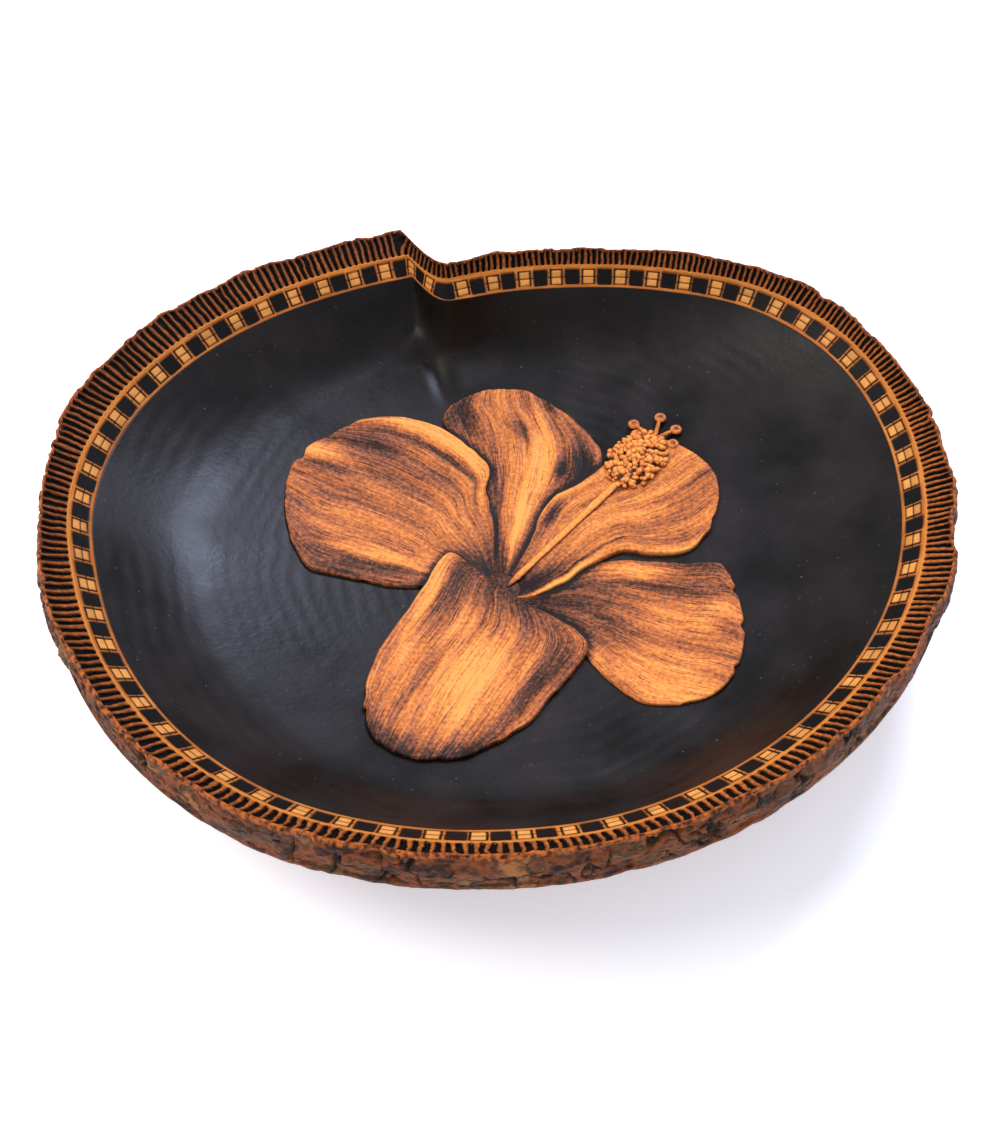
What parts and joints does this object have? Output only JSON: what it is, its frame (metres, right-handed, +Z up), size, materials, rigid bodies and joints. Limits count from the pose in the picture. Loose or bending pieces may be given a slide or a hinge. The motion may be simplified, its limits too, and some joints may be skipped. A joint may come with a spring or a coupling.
{
  "type": "carved wooden bowl",
  "caption": "Oval bark-edged dish carved from one slab, with a checked and fluted rim, a step in the rim, and a flower in low relief on its charred floor.",
  "frame": {"origin": "on the flat foot that the bowl stands on, under the middle of the bowl's box", "axes": "+Z up out of the hollow, +X along the long axis, -Y towards the front; the step in the rim is at the back, left of the middle"},
  "size_m": [0.4, 0.3462, 0.0717],
  "materials": {
    "charred_timber": "charred and oiled, satin",
    "burnt_check": "bare wood with burnt squares and lines, oiled",
    "burnt_flutes": "burnt grooves between bare ridges, oiled",
    "bark": "natural bark, sealed",
    "petal_wood": "scorched and oiled carved wood",
    "anther_wood": "scorched and oiled carved wood"
  },
  "bodies": {
    "root": {"bowl_floor": "charred_timber", "bowl_wall": "charred_timber", "check_border": "burnt_check", "fluted_border": "burnt_flutes", "bark_edge": "bark", "petal_front": "petal_wood", "petal_back_right": "petal_wood", "petal_left": "petal_wood", "petal_back": "petal_wood", "petal_right": "petal_wood", "staminal_column": "petal_wood", "anther_cluster": "anther_wood", "stigma_pads": "anther_wood"}
  },
  "joints": []
}
